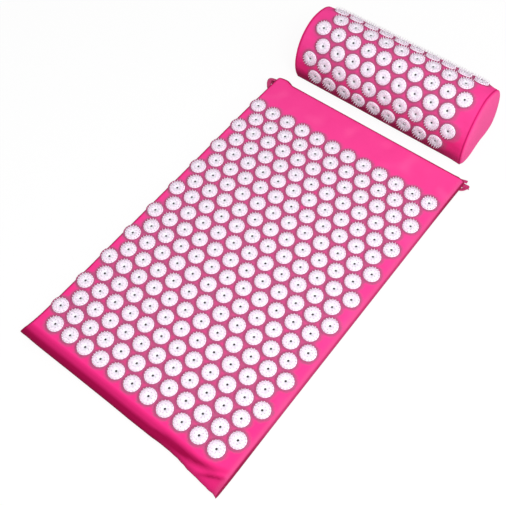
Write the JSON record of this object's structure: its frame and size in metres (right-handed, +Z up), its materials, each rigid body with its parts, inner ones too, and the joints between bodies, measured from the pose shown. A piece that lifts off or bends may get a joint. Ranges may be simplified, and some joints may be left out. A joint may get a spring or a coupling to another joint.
{
  "type": "acupressure mat",
  "caption": "Foam mat in a zipped cloth cover with staggered rows of spiked plastic discs, and a matching half-round neck pillow that stands beyond its head end.",
  "frame": {"origin": "centre of the mat's underside, on the floor", "axes": "+X across the mat to its right side, seen from the foot end; +Y along the mat from the foot end to the head end and the pillow; +Z up"},
  "size_m": [0.424, 0.839, 0.1186],
  "materials": {
    "cover_cloth": "matte",
    "disc_plastic": "gloss",
    "foam": "matte",
    "zip_tape": "matte",
    "zip_coil": "satin",
    "zip_metal": "satin"
  },
  "bodies": {
    "mat": {"mat_foam_core": "foam", "mat_top_panel": "cover_cloth", "mat_base_panel": "cover_cloth", "mat_disc_row_01": "disc_plastic", "mat_disc_row_02": "disc_plastic", "mat_disc_row_03": "disc_plastic", "mat_disc_row_04": "disc_plastic", "mat_disc_row_05": "disc_plastic", "mat_disc_row_06": "disc_plastic", "mat_disc_row_07": "disc_plastic", "mat_disc_row_08": "disc_plastic", "mat_disc_row_09": "disc_plastic", "mat_disc_row_10": "disc_plastic", "mat_disc_row_11": "disc_plastic", "mat_disc_row_12": "disc_plastic", "mat_disc_row_13": "disc_plastic", "mat_disc_row_14": "disc_plastic", "mat_disc_row_15": "disc_plastic", "mat_disc_row_16": "disc_plastic", "mat_disc_row_17": "disc_plastic", "mat_disc_row_18": "disc_plastic", "mat_disc_row_19": "disc_plastic", "mat_disc_row_20": "disc_plastic", "mat_zip_tape_upper": "zip_tape", "mat_zip_tape_lower": "zip_tape", "mat_zip_coil": "zip_coil", "mat_zip_top_stop": "zip_metal", "mat_zip_bottom_stop": "zip_metal"},
    "mat_zip_slider": {"mat_zip_slider": "zip_metal"},
    "mat_zip_pull": {"mat_zip_pull": "zip_metal"},
    "pillow": {"pillow_foam_core": "foam", "pillow_arch_panel": "cover_cloth", "pillow_base_panel": "cover_cloth", "pillow_end_panel_left": "cover_cloth", "pillow_end_panel_right": "cover_cloth", "pillow_disc_row_1": "disc_plastic", "pillow_disc_row_2": "disc_plastic", "pillow_disc_row_3": "disc_plastic", "pillow_disc_row_4": "disc_plastic", "pillow_disc_row_5": "disc_plastic", "pillow_disc_row_6": "disc_plastic", "pillow_disc_row_7": "disc_plastic", "pillow_zip_tape_upper": "zip_tape", "pillow_zip_tape_lower": "zip_tape", "pillow_zip_coil": "zip_coil", "pillow_zip_top_stop": "zip_metal", "pillow_zip_bottom_stop": "zip_metal"},
    "pillow_zip_slider": {"pillow_zip_slider": "zip_metal"},
    "pillow_zip_pull": {"pillow_zip_pull": "zip_metal"}
  },
  "joints": [
    {"name": "mat_zip_slide", "type": "slide", "parent": "mat", "child": "mat_zip_slider", "axis": [1, 0, 0], "range_m": [0, 0.351]},
    {"name": "mat_zip_pull_hinge", "type": "hinge", "parent": "mat_zip_slider", "child": "mat_zip_pull", "pos_m": [-0.1755, 0.33523, 0.0096], "axis": [0, 0, -1], "range_deg": [0, 175]},
    {"name": "pillow_lift", "type": "slide", "parent": "mat", "child": "pillow", "axis": [0, 0, 1], "range_m": [0, 0.15]},
    {"name": "pillow_zip_slide", "type": "slide", "parent": "pillow", "child": "pillow_zip_slider", "axis": [1, 0, 0], "range_m": [0, 0.271]},
    {"name": "pillow_zip_pull_hinge", "type": "hinge", "parent": "pillow_zip_slider", "child": "pillow_zip_pull", "pos_m": [-0.1423, 0.49583, 0.03355], "axis": [0, 0, -1], "range_deg": [0, 175]}
  ]
}
